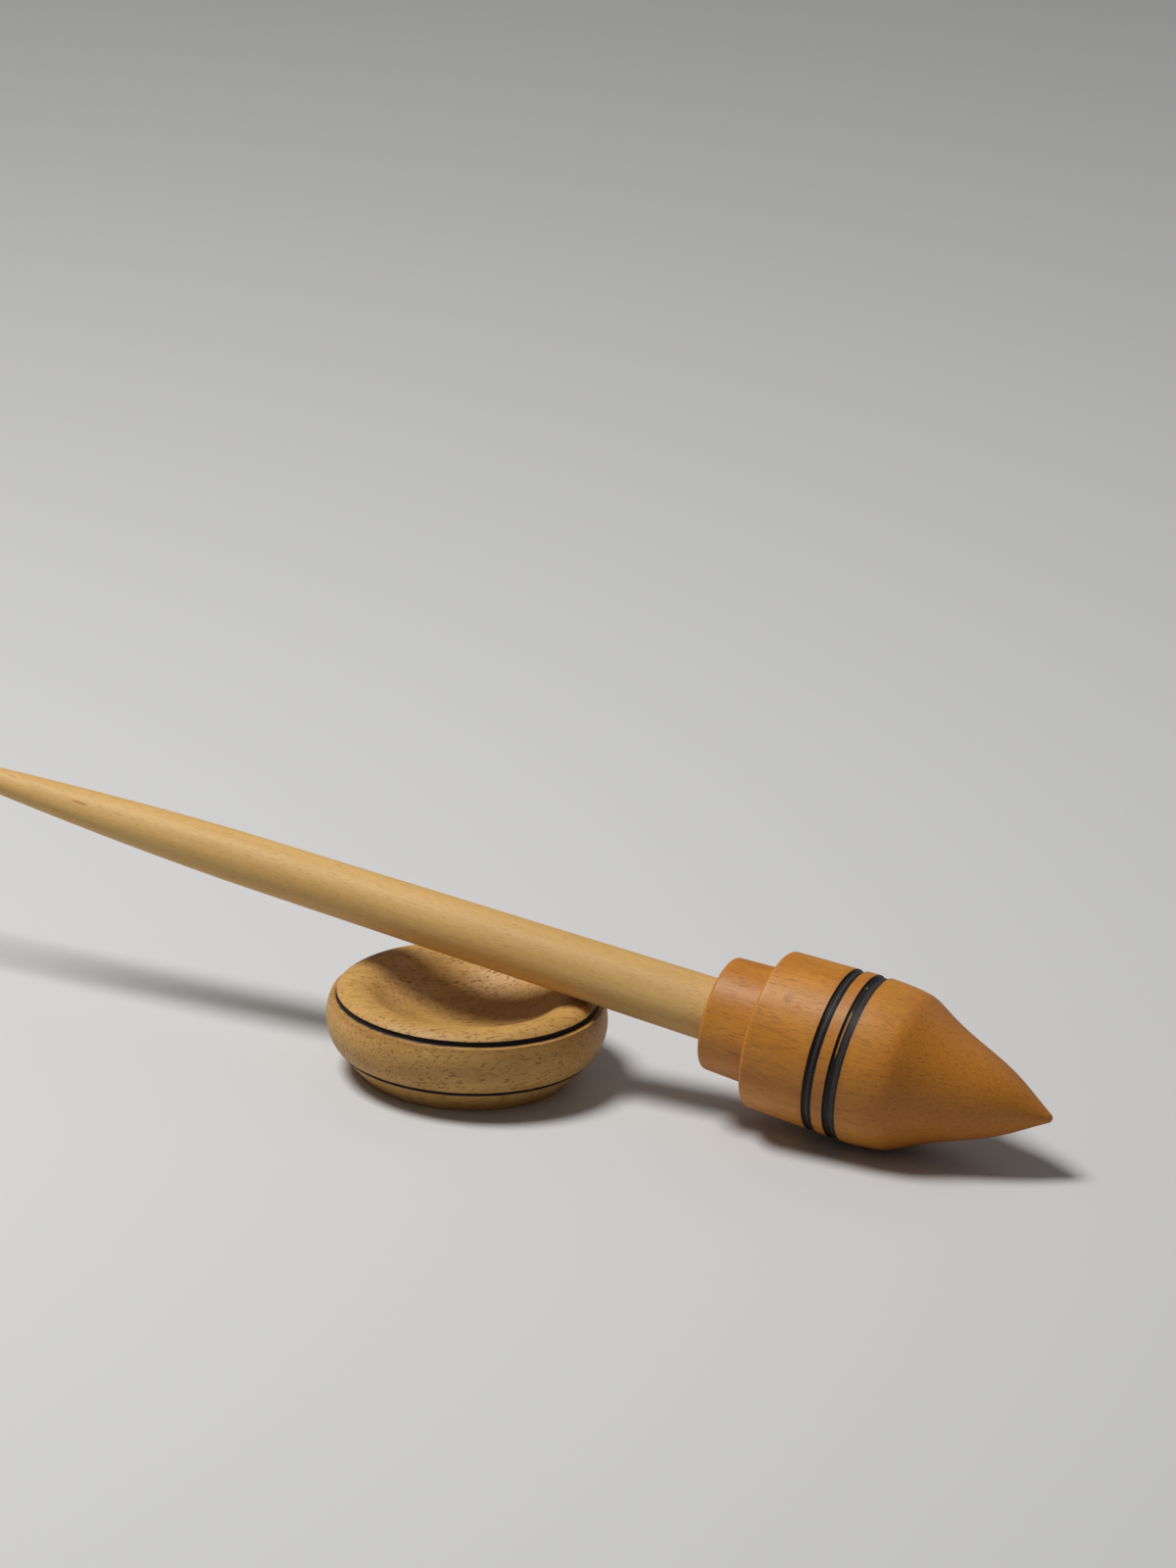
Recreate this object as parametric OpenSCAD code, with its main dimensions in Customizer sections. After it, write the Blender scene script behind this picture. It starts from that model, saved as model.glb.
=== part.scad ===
// Support spindle lying in its pose of rest: the shaft leans on the rim of its spinning bowl
// and the whorl lies on the table. All sizes in millimetres, bowl's foot on Z = 0.

/* [View] */
// Which sub-part to draw

/* [Bowl] */
// Widest radius of the belly
belly_r = 30; // [24:0.5:40]
// Radius of the belly's rounding
belly_round = 9.9; // [8:0.1:12]
// Height of the widest place
belly_z = 12.4; // [10:0.1:14]
// Radius of the flat foot
foot_r = 22.6; // [18:0.2:26]
// Height of the sloping foot below the lower groove
foot_h = 5.4; // [4:0.1:6.5]
// Small chamfer round the foot
foot_chamfer = 0.5; // [0.2:0.1:1]
// Radius of the rim's crest, on its top line
crest_r = 24.6; // [22:0.2:27]
// Rounding of the rim
rim_round = 4.6; // [3.5:0.1:5.5]
// Height of the rim's crest
crest_z = 19.3; // [17:0.1:22]
// Lowest height of the dish
dish_z = 10; // [7:0.5:12]
// Height of the upper burnt groove
upper_groove_z = 17.3; // [16:0.1:18]
// Half width of the upper burnt groove
upper_groove_w = 0.65; // [0.4:0.05:0.9]
// Height of the lower burnt groove
lower_groove_z = 5.7; // [5:0.1:7]
// Half width of the lower burnt groove
lower_groove_w = 0.42; // [0.3:0.02:0.6]

/* [Whorl] */
// Radius of the whorl's body
whorl_r = 17.9; // [15:0.1:20]
// Length of the point, from the tip to the shoulder
cone_len = 36; // [30:0.5:42]
// Outward swell of the point over its whole length
cone_bulge = 0.034; // [0:0.002:0.05]
// Swell near the tip against the hollow near the shoulder
cone_ogee = 0.031; // [0:0.001:0.05]
// Tightness of the rounded shoulder
shoulder_sharp = 1.6; // [0.8:0.1:3]
// Radius of the rounded tip
tip_round = 1.2; // [0.6:0.1:2]
// Distance of the body's upper end from the tip
body_top = 65.4; // [60:0.1:70]
// Rounding of the body's upper edge
body_round = 3; // [1:0.1:4]
// Radius of the collar
collar_r = 12.8; // [10:0.1:15]
// Distance of the collar's upper end from the tip
collar_top = 77.2; // [72:0.1:82]
// Rounding of the collar's upper edge
collar_round = 3; // [1:0.1:4]
// Distance of the narrow band from the tip
narrow_band_s = 48.2; // [46:0.1:52]
// Width of the narrow band
narrow_band_w = 2.2; // [1:0.1:3]
// Distance of the wide band from the tip
wide_band_s = 43.1; // [40:0.1:45]
// Width of the wide band
wide_band_w = 2.8; // [1:0.1:4]
// Depth of the burnt bands
band_depth = 0.4; // [0.2:0.05:0.8]

/* [Shaft] */
// Radius of the shaft at the collar
shaft_low_r = 6.95; // [5:0.05:8]
// Radius where the finger taper begins
shaft_mid_r = 5.87; // [4:0.01:7]
// Distance of that place from the whorl's tip
shaft_mid_s = 184; // [150:1:200]
// Radius just below the upper end
shaft_end_r = 1.9; // [1.5:0.1:3]
// Distance of the shaft's upper end from the whorl's tip
spindle_len = 286; // [250:1:320]
// Length over which the taper gathers its slope
taper_ease = 20; // [5:1:40]
// Radius of the tenon in the whorl
tenon_r = 5; // [4:0.1:6]
// Length of the tenon
tenon_len = 30; // [20:1:36]

/* [Pose of rest] */
// Tilt of the spindle above the table
tilt = 7.1; // [5:0.01:10]
// Distance from the bowl's centre to the whorl's tip along X
tip_x = 130.6; // [110:0.1:150]
// Distance of the spindle behind the bowl's centre
spindle_y = 4.9; // [0:0.1:10]

/* [Fits] */
// Radial gap between tenon and socket, filled by glue
glue_gap = 0.05; // [0.02:0.01:0.1]
// Free depth left below the tenon
socket_free = 0.5; // [0.2:0.1:1]

/* [Hidden] */
$fn = 96;
eps = 0.01;
belly_c = belly_r - belly_round;
rim_c = crest_z - rim_round;
dish_rise = crest_z - dish_z;
dish_r = (crest_r * crest_r + (rim_c - dish_z) * (rim_c - dish_z) - rim_round * rim_round)
    / (2 * (rim_round + rim_c - dish_z));
tangent_k = rim_round / (rim_round + dish_r);
tangent_r = crest_r * (1 - tangent_k);
tangent_z = rim_c + (dish_z + dish_r - rim_c) * tangent_k;
profile_steps = 40;
tip_start = tip_round * 0.6;
socket_len = tenon_len + socket_free;
shoulder_drop = ln(2) / shoulder_sharp;

// Radius of the bowl's belly at a height
function belly_at(z) = belly_c + sqrt(belly_round * belly_round - (z - belly_z) * (z - belly_z));

// Radius of the point before its shoulder is rounded
function cone_at(s) = let (t = s / cone_len) whorl_r * (t + cone_bulge * sin(180 * t) + cone_ogee * sin(360 * t));

// Radius of the point with a soft change into the body
function whorl_at(s) = -ln(exp(-shoulder_sharp * cone_at(s)) + exp(-shoulder_sharp * whorl_r)) / shoulder_sharp;

// Radius of the rounded tip
function tip_at(s) = sqrt(s * (2 * tip_round - s));

// Radius of the shaft with its eased change of taper
function shaft_at(s) =
    let (low = shaft_low_r + (shaft_mid_r - shaft_low_r) * (s - collar_top) / (shaft_mid_s - collar_top))
    let (slope = (shaft_mid_r - shaft_end_r) / (spindle_len - shaft_end_r - shaft_mid_s))
    let (past = s - shaft_mid_s)
    let (eased = past <= 0 ? 0 : past < taper_ease ? past * past / (2 * taper_ease) : past - taper_ease / 2)
    low - eased * (slope + (shaft_mid_r - shaft_low_r) / (shaft_mid_s - collar_top));

// Places a solid drawn from its tip along +Z in the pose of rest
module spindle_pose() {
    lowest = max([for (i = [0 : profile_steps]) let (s = cone_len * (0.8 + 0.4 * i / profile_steps))
        min(whorl_at(s), whorl_r) * cos(tilt) - s * sin(tilt)]);
    translate([tip_x, spindle_y, lowest]) rotate([0, tilt - 90, 0]) children();
}

// Turned spinning bowl with its dish, rim and two burnt grooves
module bowl() {
    color("burlywood")
    rotate_extrude(convexity = 6)
    difference() {
        union() {
            polygon([[0, 0], [foot_r - foot_chamfer, 0], [foot_r, foot_chamfer],
                [belly_at(foot_h), foot_h], [0, foot_h]]);
            intersection() {
                translate([belly_c, belly_z]) circle(r = belly_round);
                translate([belly_c, foot_h - eps]) square([belly_round + 1, upper_groove_z - foot_h + eps]);
            }
            translate([0, foot_h - eps]) square([belly_c + eps, upper_groove_z - foot_h + eps]);
            intersection() {
                translate([crest_r, rim_c]) circle(r = rim_round);
                translate([crest_r - rim_round, upper_groove_z - eps]) square([2 * rim_round, rim_round]);
            }
            translate([0, upper_groove_z - 1]) square([tangent_r, tangent_z - upper_groove_z + 1]);
        }
        intersection() {
            translate([0, dish_z + dish_r]) circle(r = dish_r, $fn = 180);
            square([tangent_r, crest_z + 5]);
        }
        translate([belly_at(upper_groove_z) - 0.35, upper_groove_z]) circle(r = upper_groove_w);
        translate([belly_at(lower_groove_z) + 0.1, lower_groove_z]) circle(r = lower_groove_w);
    }
}

// Turned whorl: collar, body with two burnt bands, ogee point, blind socket for the shaft
module whorl() {
    color("peru")
    spindle_pose()
    difference() {
        rotate_extrude(convexity = 6)
        difference() {
            union() {
                polygon(concat([[0, 0]],
                    [for (i = [1 : 6]) let (s = tip_start * i / 6) [tip_at(s), s]],
                    [for (i = [1 : profile_steps]) let (s = tip_start + (cone_len + 3 - tip_start) * i / profile_steps)
                        [max(whorl_at(s), tip_at(tip_start) + (s - tip_start) * 0.4), s]],
                    [[0, cone_len + 3]]));
                translate([0, cone_len + 3 - eps])
                    square([whorl_at(cone_len + 3), body_top - body_round - cone_len - 3 + eps]);
                translate([0, body_top - body_round - eps]) square([whorl_r - body_round, body_round + eps]);
                translate([whorl_at(cone_len + 3) - body_round, body_top - body_round]) circle(r = body_round);
                translate([0, body_top - eps]) square([collar_r, collar_top - collar_round - body_top + eps]);
                translate([0, collar_top - collar_round - eps]) square([collar_r - collar_round, collar_round + eps]);
                translate([collar_r - collar_round, collar_top - collar_round]) circle(r = collar_round);
            }
            translate([whorl_r - band_depth, narrow_band_s - narrow_band_w / 2]) square([1, narrow_band_w]);
            translate([whorl_r - band_depth, wide_band_s - wide_band_w / 2]) square([1, wide_band_w]);
        }
        translate([0, 0, collar_top - socket_len]) cylinder(r = tenon_r + glue_gap, h = socket_len + 1);
    }
}

// Long tapered shaft with its tenon and rounded upper end
module shaft() {
    color("wheat")
    spindle_pose()
    rotate_extrude(convexity = 4)
    union() {
        translate([0, collar_top - tenon_len]) square([tenon_r, tenon_len + eps]);
        polygon(concat([[0, collar_top], [shaft_low_r, collar_top]],
            [for (i = [1 : profile_steps])
                let (s = collar_top + (spindle_len - shaft_end_r - collar_top) * i / profile_steps)
                [shaft_at(s), s]],
            [[0, spindle_len - shaft_end_r]]));
        intersection() {
            translate([0, spindle_len - shaft_end_r]) circle(r = shaft_end_r);
            translate([0, spindle_len - shaft_end_r - eps]) square([shaft_end_r, shaft_end_r + 1]);
        }
    }
}

bowl();
whorl();
shaft();
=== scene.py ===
import math
import bpy
from mathutils import Matrix, Vector


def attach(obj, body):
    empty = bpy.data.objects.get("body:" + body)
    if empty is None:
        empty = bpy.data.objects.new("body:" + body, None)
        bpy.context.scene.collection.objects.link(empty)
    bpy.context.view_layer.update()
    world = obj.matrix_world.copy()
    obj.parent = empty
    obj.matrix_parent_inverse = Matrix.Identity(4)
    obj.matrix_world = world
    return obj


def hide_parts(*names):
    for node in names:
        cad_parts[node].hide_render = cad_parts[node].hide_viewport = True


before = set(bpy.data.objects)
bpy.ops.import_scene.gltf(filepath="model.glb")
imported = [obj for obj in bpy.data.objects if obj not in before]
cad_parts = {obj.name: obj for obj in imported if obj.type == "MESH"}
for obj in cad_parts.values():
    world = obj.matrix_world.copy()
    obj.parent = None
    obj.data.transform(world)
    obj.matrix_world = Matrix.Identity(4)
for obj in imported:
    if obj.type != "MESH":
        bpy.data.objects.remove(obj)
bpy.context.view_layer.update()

# Spinning bowl
# Turned on a lathe from one block of tan, fine-pored wood: sloping foot, round belly, rolled rim
# and shallow dish. Its two dark lines are narrow grooves, burnt in while the block turned.
# It stands loose on the table.

# Sizes, in millimetres as in the sections that follow
belly_r = 30.0
belly_round = 9.9
belly_z = 12.4
foot_r = 22.6
foot_h = 5.4
foot_edge = 0.5
crest_r = 24.6
crest_z = 19.3
rim_round = 4.6
inner_round = 8.0
dish_z = 10.0
upper_groove_z = 17.3
upper_groove_half = 0.65
upper_groove_sink = 0.35
lower_groove_z = 5.7
lower_groove_half = 0.42
lower_groove_sink = -0.1

# Centres of the belly and of the rim's outer and inner rounds, and where the inner round runs into the dish
belly_c = belly_r - belly_round
rim_c = crest_z - rim_round
inner_c = crest_z - inner_round
dish_r = (crest_r ** 2 + (inner_c - dish_z) ** 2 - inner_round ** 2) / (2 * (inner_round + inner_c - dish_z))
tangent_share = inner_round / (inner_round + dish_r)
tangent_r = crest_r * (1 - tangent_share)
tangent_z = inner_c + (dish_z + dish_r - inner_c) * tangent_share


def evenly(first, last, steps):
    """The places of that many equal steps from first to last, without first itself."""
    return [first + (last - first) * step / steps for step in range(1, steps + 1)]


def belly_at(z):
    """Outside radius of the round belly."""
    return belly_c + math.sqrt(belly_round ** 2 - (z - belly_z) ** 2)


def foot_at(z):
    """Outside radius of the sloping foot."""
    return foot_r + (belly_at(foot_h) - foot_r) * (z - foot_edge) / (foot_h - foot_edge)


def grooved(radius, z):
    """An outside radius with both burnt grooves cut in."""
    for groove_z, half, sink in ((upper_groove_z, upper_groove_half, upper_groove_sink),
                                 (lower_groove_z, lower_groove_half, lower_groove_sink)):
        if abs(z - groove_z) < half:
            groove_r = belly_at(groove_z) - sink
            radius = min(radius, groove_r - math.sqrt(half ** 2 - (z - groove_z) ** 2))
    return radius


foot_edge_steps = 3
foot_steps = 24
belly_steps = 150
rim_steps = 36
dish_steps = 40
quarter = math.pi / 2

bowl_profile = [(0.0, 0.0), (foot_r - foot_edge, 0.0)]
for turn in evenly(0.0, quarter, foot_edge_steps):
    bowl_profile.append((foot_r - foot_edge * (1 - math.sin(turn)), foot_edge * (1 - math.cos(turn))))
for z in evenly(foot_edge, foot_h, foot_steps)[:-1]:
    bowl_profile.append((grooved(foot_at(z), z), z))
for z in [foot_h] + evenly(foot_h, upper_groove_z, belly_steps)[:-1]:
    bowl_profile.append((grooved(belly_at(z), z), z))
for turn in evenly(math.asin((upper_groove_z - rim_c) / rim_round), quarter, rim_steps):
    z = rim_c + rim_round * math.sin(turn)
    bowl_profile.append((grooved(crest_r + rim_round * math.cos(turn), z), z))
for turn in evenly(quarter, math.pi - math.atan2(tangent_z - inner_c, crest_r - tangent_r), rim_steps):
    bowl_profile.append((crest_r + inner_round * math.cos(turn), inner_c + inner_round * math.sin(turn)))
for turn in evenly(math.asin(tangent_r / dish_r), 0.0, dish_steps)[:-1]:
    bowl_profile.append((dish_r * math.sin(turn), dish_z + dish_r * (1 - math.cos(turn))))
bowl_profile.append((0.0, dish_z))

metres_per_mm = 0.001
sharp_corner = math.radians(40)
bowl_sides = 256


def lathe(name, profile, sides, pose):
    """A closed turned piece: profile is (radius, height) from axis to axis, pose puts its axis in place."""
    points = []
    rings = []
    for radius, height in profile:
        if radius == 0.0:
            rings.append([len(points)] * sides)
            points.append(Vector((0.0, 0.0, height)))
            continue
        rings.append(range(len(points), len(points) + sides))
        for side in range(sides):
            angle = 2 * math.pi * side / sides
            points.append(Vector((radius * math.cos(angle), radius * math.sin(angle), height)))
    faces = []
    for lower, upper in zip(rings, rings[1:]):
        for side in range(sides):
            after = (side + 1) % sides
            corners = (lower[side], lower[after], upper[after], upper[side])
            faces.append(tuple(dict.fromkeys(corners)))
    mesh = bpy.data.meshes.new(name)
    mesh.from_pydata([pose @ (point * metres_per_mm) for point in points], [], faces)
    mesh.validate()
    mesh.shade_smooth()
    mesh.set_sharp_from_angle(angle=sharp_corner)
    piece = bpy.data.objects.new(name, mesh)
    bpy.context.scene.collection.objects.link(piece)
    return piece


bowl_pose = Matrix.Identity(4)
bowl = lathe("spinning_bowl", bowl_profile, bowl_sides, bowl_pose)


class Wire:
    """One output of a shader node, with ordinary arithmetic on it."""

    def __init__(self, tree, socket=None):
        self.tree = tree
        self.socket = socket

    def node(self, kind, settings, sockets, output=0):
        """Adds a node, sets its properties, joins or sets its inputs and returns one of its outputs."""
        made = self.tree.nodes.new(kind)
        for name, value in settings.items():
            setattr(made, name, value)
        for name, value in sockets.items():
            if isinstance(value, Wire):
                self.tree.links.new(value.socket, made.inputs[name])
            else:
                made.inputs[name].default_value = value
        return Wire(self.tree, made.outputs[output])

    def math(self, operation, first, second=0.0):
        return self.node("ShaderNodeMath", {"operation": operation}, {0: first, 1: second})

    def __add__(self, other):
        return self.math("ADD", self, other)

    __radd__ = __add__

    def __sub__(self, other):
        return self.math("SUBTRACT", self, other)

    def __rsub__(self, other):
        return self.math("SUBTRACT", other, self)

    def __mul__(self, other):
        return self.math("MULTIPLY", self, other)

    __rmul__ = __mul__

    def __or__(self, other):
        """The greater of two masks."""
        return self.math("MAXIMUM", self, other)

    def __abs__(self):
        return self.math("ABSOLUTE", self)

    def rise(self, low, high):
        """0 at low, 1 at high, with a soft change between them."""
        return self.node("ShaderNodeMapRange", {"interpolation_type": "SMOOTHSTEP"},
                         {"Value": self, "From Min": low, "From Max": high})

    def near(self, centre, full, none):
        """1 within full of centre, falling to 0 at none."""
        return 1.0 - abs(self - centre).rise(full, none)

    def tint(self, first, second):
        """The first colour where this is 0 and the second where it is 1."""
        colours = [colour if isinstance(colour, Wire) else (*colour, 1.0) for colour in (first, second)]
        factor, first_colour, second_colour, mixed_colour = 0, 6, 7, 2
        sockets = {factor: self, first_colour: colours[0], second_colour: colours[1]}
        return self.node("ShaderNodeMix", {"data_type": "RGBA"}, sockets, mixed_colour)


def waves(axes, per_mm, detail, roughness):
    """Noise over three axes, each with its own number of waves per millimetre."""
    x, y, z = (axis * rate for axis, rate in zip(axes, per_mm))
    place = x.node("ShaderNodeCombineXYZ", {}, {"X": x, "Y": y, "Z": z})
    return x.node("ShaderNodeTexNoise", {},
                  {"Vector": place, "Scale": 1.0, "Detail": detail, "Roughness": roughness})


def stain(wood, mask, colour, strength):
    """Wood with another colour over it where the mask is 1, at that strength."""
    return (mask * strength).tint(wood, colour)


def new_wood(name, pose):
    """A new material, and the millimetres along the three axes of the blank that was turned."""
    material = bpy.data.materials.new(name)
    material.use_nodes = True
    tree = material.node_tree
    world_place = Wire(tree).node("ShaderNodeTexCoord", {}, {}, "Object")
    parts = world_place.node("ShaderNodeSeparateXYZ", {}, {"Vector": world_place})
    x, y, z = (Wire(tree, output) for output in parts.socket.node.outputs)
    rows = pose.inverted()[:3]
    blank = [(x * row[0] + y * row[1] + z * row[2] + row[3]) * (1 / metres_per_mm) for row in rows]
    return material, blank


wood_specular = 0.32


def finish_wood(piece, material, colour, roughness, height, depth, coat, coat_roughness):
    """Joins colour, roughness and a bump of that depth to the shader, and gives the wood to the piece."""
    shader = material.node_tree.nodes["Principled BSDF"]
    bump = height.node("ShaderNodeBump", {},
                       {"Height": height, "Distance": depth * metres_per_mm, "Strength": 1.0})
    for name, wire in (("Base Color", colour), ("Roughness", roughness), ("Normal", bump)):
        material.node_tree.links.new(wire.socket, shader.inputs[name])
    shader.inputs["Specular IOR Level"].default_value = wood_specular
    shader.inputs["Coat Weight"].default_value = coat
    shader.inputs["Coat Roughness"].default_value = coat_roughness
    piece.data.materials.append(material)


# Colours of the tan wood and of its burnt lines
bowl_tan = (0.48, 0.26, 0.068)
bowl_gold = (0.58, 0.335, 0.10)
bowl_fibre = (0.40, 0.20, 0.045)
bowl_mottle = (0.36, 0.175, 0.04)
bowl_pore = (0.19, 0.08, 0.018)
bowl_dry = (0.70, 0.46, 0.16)
bowl_scorch = (0.26, 0.11, 0.03)
line_black = (0.006, 0.004, 0.003)
line_ash = (0.020, 0.015, 0.012)

material, (x, y, z) = new_wood("bowl_wood", bowl_pose)
grain_turn = math.radians(35)
along = x * math.cos(grain_turn) + y * math.sin(grain_turn)
across = y * math.cos(grain_turn) - x * math.sin(grain_turn)
fibre = waves((along, across, z), (0.05, 0.9, 0.9), detail=5.0, roughness=0.6)
broad = waves((along, across, z), (0.02, 0.12, 0.12), detail=3.0, roughness=0.55)
pores = waves((along, across, z), (0.55, 1.9, 1.9), detail=2.0, roughness=0.5)
speckle = waves((x, y, z), (2.6, 2.6, 2.6), detail=4.0, roughness=0.7)
mottle = waves((x, y, z), (1.1, 1.1, 1.1), detail=3.0, roughness=0.6)
flecks = pores.rise(0.54, 0.66) * speckle.rise(0.36, 0.60)
wood = broad.rise(0.3, 0.7).tint(bowl_tan, bowl_gold)
wood = stain(wood, fibre.rise(0.35, 0.75), bowl_fibre, 0.45)
wood = stain(wood, mottle.rise(0.45, 0.68), bowl_mottle, 0.30)
wood = stain(wood, flecks, bowl_pore, 0.75)
wood = stain(wood, speckle.rise(0.62, 0.85), bowl_dry, 0.2)

# The burnt lines wander a little, and the wood beside them is scorched
wander = waves((x, y, z), (0.35, 0.35, 0.35), detail=3.0, roughness=0.55) - 0.5
outside = (x * x + y * y).rise((crest_r - 1.6) ** 2, (crest_r + 0.4) ** 2)
line_z = z + wander * 0.16
upper_line = line_z.near(upper_groove_z, upper_groove_half * 0.78, upper_groove_half * 1.06)
lower_line = line_z.near(lower_groove_z, lower_groove_half, lower_groove_half * 1.5)
burnt = (upper_line | lower_line) * outside
upper_scorch = (z + wander * 0.5).near(upper_groove_z - 0.5, 0.4, 1.7)
lower_scorch = (z + wander * 0.4).near(lower_groove_z, 0.3, 1.0)
scorch = (upper_scorch * 0.5 | lower_scorch * 0.4) * outside
wood = stain(wood, scorch, bowl_scorch, 0.7)
ash = waves((x, y, z), (3.0, 3.0, 9.0), detail=4.0, roughness=0.7)
char = ash.rise(0.4, 0.75).tint(line_black, line_ash)

colour = burnt.tint(wood, char)
roughness = 0.46 + speckle * 0.12 + burnt * 0.25
height = fibre * 0.4 - flecks * 0.6 + speckle * 0.15 + ash * burnt * 0.6
finish_wood(bowl, material, colour, roughness, height, depth=0.12, coat=0.05, coat_roughness=0.35)
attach(bowl, "bowl")
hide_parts("bowl")

# Whorl
# Turned from one piece of honey-coloured wood, grain along the axis: collar, body with two burnt bands,
# rounded shoulder and ogee point that spins in the dish. A blind socket takes the shaft, glued in.

# Lie of the spindle, and its solid point, which touches the table and so sets the height of the tip
tilt = math.radians(7.1)
tip_x = 130.6
spindle_y = 4.9
whorl_r = 17.9
solid_len = 36.0
solid_bulge = 0.034
solid_ogee = 0.031
solid_sharp = 1.6

# Turned shape, measured up the axis from the tip
point_len = 33.6
point_bulge = 0.040
point_ogee = 0.042
point_hold = 1.2
point_fill = 0.08
shoulder_sharp = 1.4
shoulder_s = 39.0
table_gap = 0.01
table_sharp = 3.5
tip_round = 1.1
tip_join = 0.62
tip_reach = 6.0
body_taper = 0.035
body_top = 64.0
body_round = 1.0
collar_low_r = 12.8
collar_top_r = 12.3
collar_top = 75.5
collar_round = 1.0
wide_band_s = 43.1
wide_band_half = 1.4
narrow_band_s = 48.2
narrow_band_half = 1.1
band_depth = 0.4
band_wall = 0.18
band_ripple = 0.035
band_ripples = 7
tenon_r = 5.0
tenon_len = 30.0
glue_gap = 0.05
socket_free = 0.5


def soft_min(first, second, sharpness):
    """The lesser of two lengths, with a rounded change from one to the other."""
    return -math.log(math.exp(-sharpness * first) + math.exp(-sharpness * second)) / sharpness


def ogee_at(s, length, bulge, ogee):
    """Radius of an ogee point of that length."""
    t = s / length
    return whorl_r * (t + bulge * math.sin(math.pi * t) + ogee * math.sin(2 * math.pi * t))


contact_low = 0.8
contact_high = 1.2
contact_steps = 40
tip_z = 0.0
for s in evenly(contact_low * solid_len, contact_high * solid_len, contact_steps):
    solid_r = soft_min(ogee_at(s, solid_len, solid_bulge, solid_ogee), whorl_r, solid_sharp)
    tip_z = max(tip_z, solid_r * math.cos(tilt) - s * math.sin(tilt))
tip_place = Vector((tip_x, spindle_y, tip_z)) * metres_per_mm
spindle_pose = Matrix.Translation(tip_place) @ Matrix.Rotation(tilt - quarter, 4, "Y")


def turned_at(s):
    """Radius of the point, shoulder and slightly tapered body, never through the table."""
    table_r = (tip_z + s * math.sin(tilt)) / math.cos(tilt) - table_gap
    body_r = whorl_r - body_taper * (s - shoulder_s)
    point_r = ogee_at(min(s, point_len * point_hold), point_len, point_bulge, point_ogee)
    return soft_min(soft_min(point_r, body_r, shoulder_sharp) + point_fill, table_r, table_sharp)


def tip_at(s):
    """Radius of the rounded tip."""
    return math.sqrt(s * (2 * tip_round - s))


def whorl_at(s):
    """Radius of the whole whorl below its collar, eased into the tip, with both rippled bands sunk in."""
    ease = max(0.0, 1.0 - (s - tip_join) / tip_reach) ** 2
    radius = turned_at(s) + ease * (tip_at(tip_join) - turned_at(tip_join))
    for band_s, half in ((wide_band_s, wide_band_half), (narrow_band_s, narrow_band_half)):
        inside = half - abs(s - band_s)
        if inside > 0:
            ripple = band_ripple * math.sin(math.pi * band_ripples * (s - band_s) / half)
            radius -= (band_depth - ripple) * min(1.0, inside / band_wall)
    return radius


edge_steps = 10


def rounded_edge(outer, top, rounding):
    """Points of a quarter round from a turned side to its flat end."""
    turns = [0.0] + evenly(0.0, quarter, edge_steps)
    return [(outer - rounding * (1 - math.cos(turn)), top - rounding * (1 - math.sin(turn)))
            for turn in turns]


tip_steps = 12
point_steps = 110
band_steps = 42
between_steps = 6
body_steps = 20
whorl_sides = 256

whorl_profile = [(0.0, 0.0)]
for s in evenly(0.0, tip_join, tip_steps):
    whorl_profile.append((tip_at(s), s))
stations = evenly(tip_join, wide_band_s - wide_band_half, point_steps)
for reach, steps in ((wide_band_s + wide_band_half, band_steps),
                     (narrow_band_s - narrow_band_half, between_steps),
                     (narrow_band_s + narrow_band_half, band_steps),
                     (body_top - body_round, body_steps)):
    stations += evenly(stations[-1], reach, steps)
for s in stations[:-1]:
    whorl_profile.append((whorl_at(s), s))
whorl_profile += rounded_edge(whorl_at(body_top - body_round), body_top, body_round)
whorl_profile.append((collar_low_r, body_top))
whorl_profile += rounded_edge(collar_top_r, collar_top, collar_round)
socket_r = tenon_r + glue_gap
socket_end = collar_top - tenon_len - socket_free
whorl_profile += [(socket_r, collar_top), (socket_r, socket_end), (0.0, socket_end)]
whorl = lathe("turned_whorl", whorl_profile, whorl_sides, spindle_pose)

# Colours of the honey wood, of its burnt bands and of the painted highlight on them
honey_deep = (0.47, 0.175, 0.017)
honey_light = (0.58, 0.24, 0.03)
honey_point = (0.47, 0.150, 0.008)
honey_streak = (0.38, 0.135, 0.018)
honey_fibre = (0.30, 0.10, 0.014)
honey_ray = (0.22, 0.065, 0.009)
honey_dash = (0.27, 0.085, 0.011)
honey_speck = (0.20, 0.06, 0.006)
honey_scorch = (0.34, 0.11, 0.015)
honey_swirl = (0.26, 0.09, 0.012)
honey_dot = (0.12, 0.04, 0.008)
band_black = (0.005, 0.004, 0.0035)
band_ash = (0.030, 0.025, 0.022)
# Grey of the painted highlight on the burnt bands
band_painted_highlight = (0.060, 0.047, 0.041)

material, (x, y, s) = new_wood("whorl_wood", spindle_pose)
streak = waves((x, y, s), (1.5, 1.5, 0.10), detail=4.0, roughness=0.6)
fibre = waves((x, y, s), (5.0, 5.0, 0.55), detail=3.0, roughness=0.6)
rays = waves((x, y, s), (3.4, 3.4, 0.35), detail=2.0, roughness=0.5)
dashes = waves((x, y, s), (1.7, 1.7, 0.30), detail=2.0, roughness=0.5)
broad = waves((x, y, s), (0.11, 0.11, 0.02), detail=3.0, roughness=0.55)
speckle = waves((x, y, s), (3.2, 3.2, 3.2), detail=4.0, roughness=0.7)
on_point = 1.0 - s.rise(shoulder_s - 8.0, shoulder_s - 1.0)
wood = broad.rise(0.3, 0.7).tint(honey_deep, honey_light)
wood = stain(wood, on_point, honey_point, 0.5)
wood = stain(wood, streak.rise(0.4, 0.75), honey_streak, 0.4)
wood = stain(wood, fibre.rise(0.48, 0.70), honey_fibre, 0.42)
wood = stain(wood, rays.rise(0.58, 0.70), honey_ray, 0.50)
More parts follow.
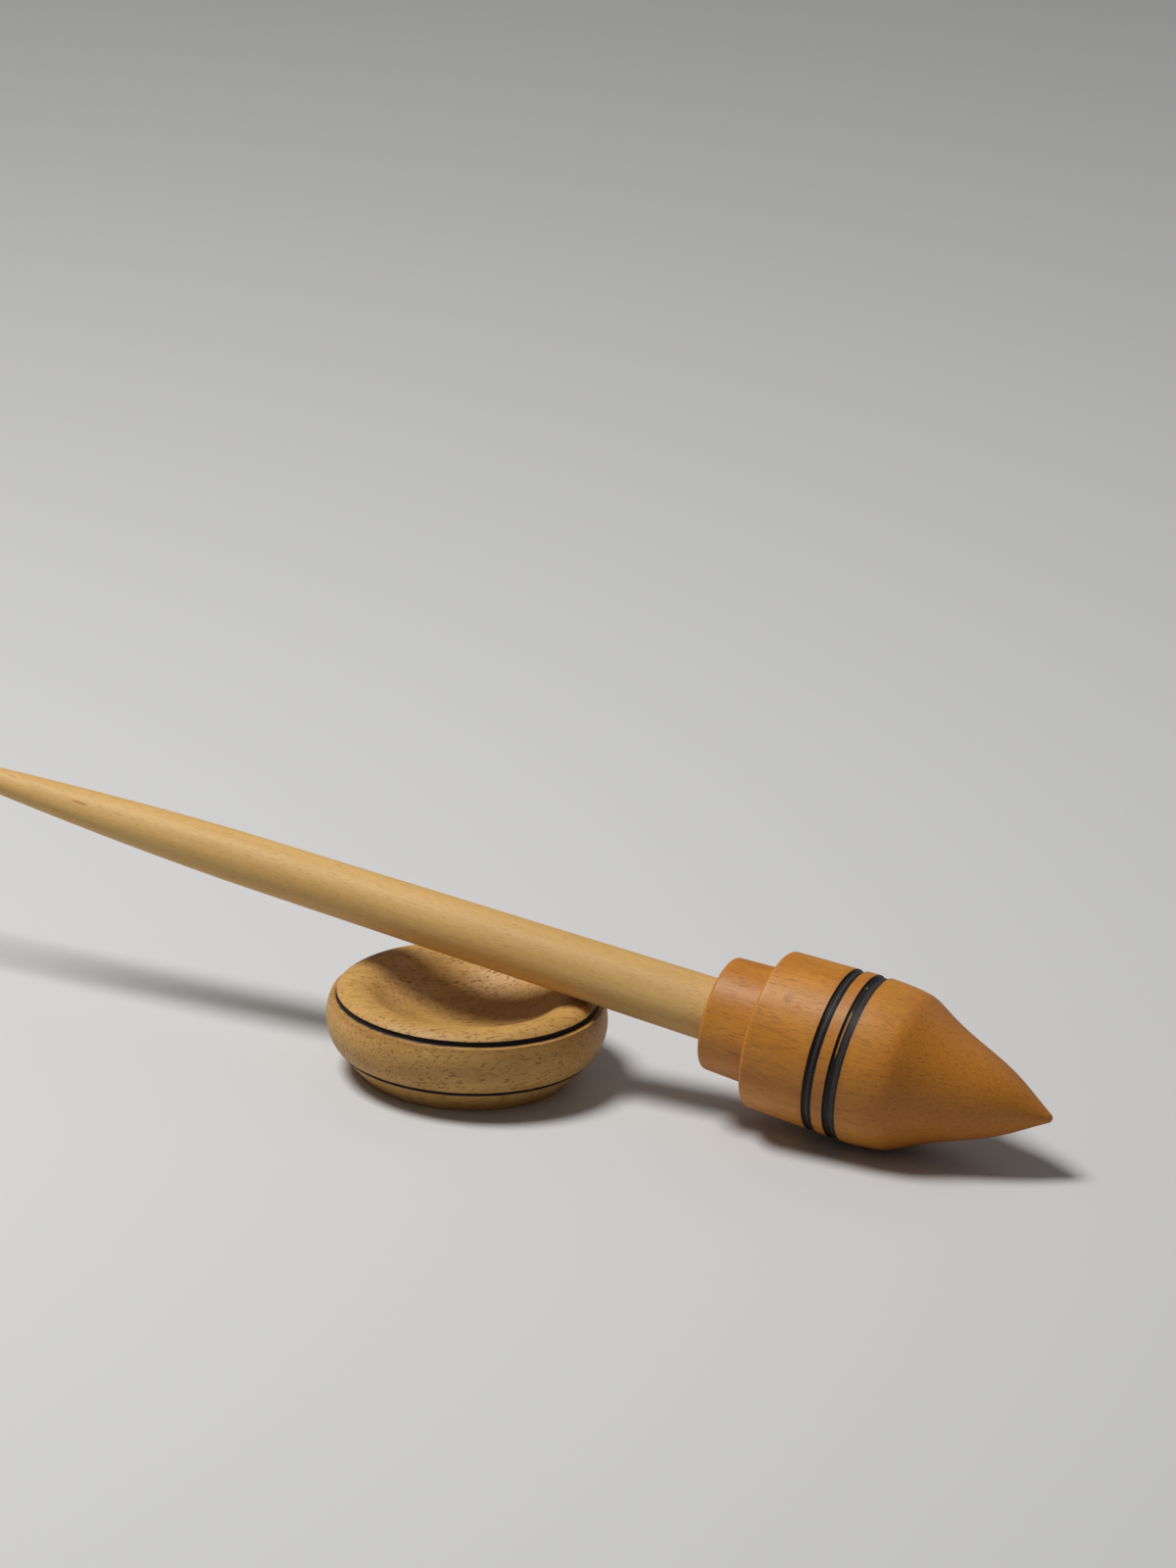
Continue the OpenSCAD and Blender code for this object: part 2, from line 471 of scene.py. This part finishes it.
wood = stain(wood, dashes.rise(0.55, 0.70), honey_dash, 0.38)
wood = stain(wood, on_point * speckle.rise(0.5, 0.7), honey_speck, 0.3)

# Burnt bands: ragged edges, fine turning lines, ash, and a painted highlight along each, a lighter grey line
# in the colour where the charred surface catches the light
wander = waves((x, y, s), (0.4, 0.4, 0.2), detail=3.0, roughness=0.55) - 0.5
outside = (x * x + y * y).rise((whorl_r - 1.5) ** 2, (whorl_r - 1.0) ** 2)
band_s = s + wander * 0.2
narrow_band = band_s.near(narrow_band_s, narrow_band_half - 0.1, narrow_band_half + 0.2)
wide_band = band_s.near(wide_band_s, wide_band_half - 0.1, wide_band_half + 0.2)
lines = wander.math("SINE", s * 14.0 + wander * 3.0)
ash = waves((x, y, s), (0.6, 0.6, 6.0), detail=4.0, roughness=0.65)
char = (ash.rise(0.4, 0.7) * (0.6 + lines * 0.3)).tint(band_black, band_ash)
# Painted highlight: a thin lighter grey line in each band, standing in for light reflected off the charred
# surface
painted_highlight_mask = s.near(wide_band_s - 0.45, 0.35, 0.65) | s.near(narrow_band_s + 0.1, 0.15, 0.35)
char = stain(char, painted_highlight_mask, band_painted_highlight, 0.35 + ash * 0.6)
scorch = s.near((narrow_band_s + wide_band_s) / 2, 3.6, 5.6) * outside
wood = stain(wood, scorch, honey_scorch, 0.35 + wander * 0.5)
turn = y.math("ARCTAN2", y, x)


def mark(s, turn, place, degrees, half_length, half_turn):
    """A small mark at a place along the axis and round it; both halves are (full, none)."""
    return s.near(place, *half_length) * turn.near(math.radians(degrees), *half_turn)


# Two slips of wood in the wide band that the burning missed, a swirl in the grain and a dark dot
missed_s = wide_band_s + 0.65
missed_line = mark(s, turn, missed_s, -52, (0.10, 0.24), (0.22, 0.34))
missed_fleck = mark(s, turn, missed_s, -10, (0.12, 0.30), (0.008, 0.02))
swirl = mark(s, turn, 57.7, -40, (0.3, 1.5), (0.03, 0.11))
dot = mark(s, turn, 33.7, -80, (0.10, 0.3), (0.006, 0.016))
wood = stain(wood, swirl, honey_swirl, 0.45)
wood = stain(wood, dot, honey_dot, 0.7)
burnt = (narrow_band | wide_band) * outside * (1.0 - (missed_line | missed_fleck) * 0.75)

colour = burnt.tint(wood, char)
roughness = 0.40 + speckle * 0.14 + burnt * 0.08
height = fibre * 0.4 + streak * 0.3 - rays.rise(0.62, 0.74) * 0.3 + lines * burnt * 0.5
finish_wood(whorl, material, colour, roughness, height, depth=0.09, coat=0.08, coat_roughness=0.3)
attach(whorl, "spindle")
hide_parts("whorl")

# Shaft
# Long stick of pale, close-grained wood, turned and sanded: nearly straight above the whorl, then tapering
# to a slender end for the fingers. Its lower end is a tenon glued into the whorl's socket.
shaft_low_r = 6.8
shaft_mid_r = 5.66
shaft_mid_s = 184.0
taper_rate = 0.00156
taper_power = 1.75
slender_r = 1.2
slender_s = 247.0
spindle_len = 286.0
end_round = 1.45
shaft_lean = (shaft_mid_r - shaft_low_r) / (shaft_mid_s - collar_top)


def taper_at(s):
    """Radius of the nearly straight stick, which thins faster and faster above its middle."""
    past = max(0.0, s - shaft_mid_s)
    return shaft_low_r + shaft_lean * (s - collar_top) - taper_rate * past ** taper_power


slender_fall = taper_rate * taper_power * (slender_s - shaft_mid_s) ** (taper_power - 1) - shaft_lean
slender_ease = (taper_at(slender_s) - slender_r) / slender_fall


def shaft_at(s):
    """Radius of the shaft, whose taper eases into the slender end."""
    if s <= slender_s:
        return taper_at(s)
    return slender_r + (taper_at(slender_s) - slender_r) * math.exp((slender_s - s) / slender_ease)


taper_steps = 120
end_steps = 16
shaft_sides = 192
tenon_end = collar_top - tenon_len
taper_end = spindle_len - end_round

shaft_profile = [(0.0, tenon_end), (tenon_r, tenon_end), (tenon_r, collar_top)]
for s in [collar_top] + evenly(collar_top, taper_end, taper_steps):
    shaft_profile.append((shaft_at(s), s))
for turn in evenly(0.0, quarter, end_steps)[:-1]:
    shaft_profile.append((shaft_at(taper_end) * math.cos(turn), taper_end + end_round * math.sin(turn)))
shaft_profile.append((0.0, spindle_len))
shaft = lathe("tapered_shaft", shaft_profile, shaft_sides, spindle_pose)

# Colours of the pale wood
pale_deep = (0.55, 0.330, 0.105)
pale_light = (0.63, 0.393, 0.138)
pale_streak = (0.52, 0.31, 0.10)
pale_fibre = (0.42, 0.235, 0.07)
pale_ray = (0.32, 0.16, 0.043)
pale_fleck = (0.30, 0.125, 0.03)

material, (x, y, s) = new_wood("shaft_wood", spindle_pose)
streak = waves((x, y, s), (1.8, 1.8, 0.05), detail=4.0, roughness=0.6)
fibre = waves((x, y, s), (5.5, 5.5, 0.7), detail=3.0, roughness=0.6)
rays = waves((x, y, s), (3.6, 3.6, 0.5), detail=2.0, roughness=0.5)
broad = waves((x, y, s), (0.2, 0.2, 0.015), detail=3.0, roughness=0.55)
speckle = waves((x, y, s), (3.0, 3.0, 3.0), detail=4.0, roughness=0.7)
wood = broad.rise(0.3, 0.7).tint(pale_deep, pale_light)
wood = stain(wood, streak.rise(0.4, 0.75), pale_streak, 0.35)
wood = stain(wood, fibre.rise(0.48, 0.70), pale_fibre, 0.34)
wood = stain(wood, rays.rise(0.58, 0.70), pale_ray, 0.38)

# A long fleck in the taper and a small speck lower down
turn = y.math("ARCTAN2", y, x)
long_fleck = mark(s, turn, 225.8, -54, (0.8, 2.6), (0.03, 0.10))
small_speck = mark(s, turn, 165.3, -6, (0.2, 0.9), (0.02, 0.07))
colour = stain(wood, long_fleck | small_speck, pale_fleck, 0.6)
roughness = 0.56 + speckle * 0.12
height = fibre * 0.4 + streak * 0.3 - rays.rise(0.62, 0.74) * 0.3
finish_wood(shaft, material, colour, roughness, height, depth=0.08, coat=0.05, coat_roughness=0.35)
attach(shaft, "spindle")
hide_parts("shaft")

# Floor
# A plain, pale, matt table under the object and not part of it.
# It reaches past the edges of every view, and sizes from here on are in metres.
floor_half = 4.0
floor_pale = (0.58, 0.575, 0.565, 1.0)
floor_roughness = 0.7
corners = [(x * floor_half, y * floor_half, 0.0) for x, y in ((-1, -1), (1, -1), (1, 1), (-1, 1))]
floor_mesh = bpy.data.meshes.new("floor")
floor_mesh.from_pydata(corners, [], [(0, 1, 2, 3)])
floor = bpy.data.objects.new("floor", floor_mesh)
bpy.context.scene.collection.objects.link(floor)
material = bpy.data.materials.new("floor_pale")
material.use_nodes = True
floor_shader = material.node_tree.nodes["Principled BSDF"]
floor_shader.inputs["Base Color"].default_value = floor_pale
floor_shader.inputs["Roughness"].default_value = floor_roughness
floor_mesh.materials.append(material)

# Lights
# A soft studio lamp high on the left, a weak wide one behind on the right,
# and an even, slightly cool sky that fills the shadows.
lamp_aim = Vector((0.0, 0.0, 0.02))
key = {"place": Vector((-0.42, -0.18, 1.07)), "size": 0.45, "power": 14.0}
fill = {"place": Vector((0.5, 1.0, 1.0)), "size": 1.2, "power": 1.5}
sky_colour = (0.95, 0.97, 1.0, 1.0)
sky_strength = 0.12
for name, lamp in (("key", key), ("fill", fill)):
    lamp_data = bpy.data.lights.new(name, "AREA")
    lamp_data.shape = "DISK"
    lamp_data.size = lamp["size"]
    lamp_data.energy = lamp["power"]
    lamp_object = bpy.data.objects.new(name, lamp_data)
    lamp_object.location = lamp["place"]
    lamp_object.rotation_euler = (lamp_aim - lamp["place"]).to_track_quat("-Z", "Y").to_euler()
    bpy.context.scene.collection.objects.link(lamp_object)
sky = bpy.data.worlds.new("sky")
sky.use_nodes = True
sky.node_tree.nodes["Background"].inputs["Color"].default_value = sky_colour
sky.node_tree.nodes["Background"].inputs["Strength"].default_value = sky_strength
bpy.context.scene.world = sky

# Camera
# At the photograph's angle: far off with a long lens, looking down on the object from its right,
# and rolled a little. The lens is given in pixels of a picture 1600 pixels high.
camera_place = Vector((0.60553, -1.42140, 0.64306))
yaw = -0.3874
pitch = 0.3574
roll = -0.0416
lens_px = 8000.0
picture_px = 1600.0
sensor_mm = 24.0
view_reach = 20.0
forward = Vector((math.sin(yaw) * math.cos(pitch), math.cos(yaw) * math.cos(pitch), -math.sin(pitch)))
level_right = Vector((math.cos(yaw), -math.sin(yaw), 0.0))
level_down = forward.cross(level_right)
right = level_right * math.cos(roll) + level_down * math.sin(roll)
up = level_right * math.sin(roll) - level_down * math.cos(roll)
camera_data = bpy.data.cameras.new("camera")
camera_data.sensor_fit = "VERTICAL"
camera_data.sensor_height = sensor_mm
camera_data.lens = lens_px / picture_px * sensor_mm
camera_data.clip_end = view_reach
camera = bpy.data.objects.new("camera", camera_data)
camera.matrix_world = Matrix.Translation(camera_place) @ Matrix((right, up, -forward)).transposed().to_4x4()
bpy.context.scene.collection.objects.link(camera)
bpy.context.scene.camera = camera
bpy.context.scene.view_settings.view_transform = "Standard"
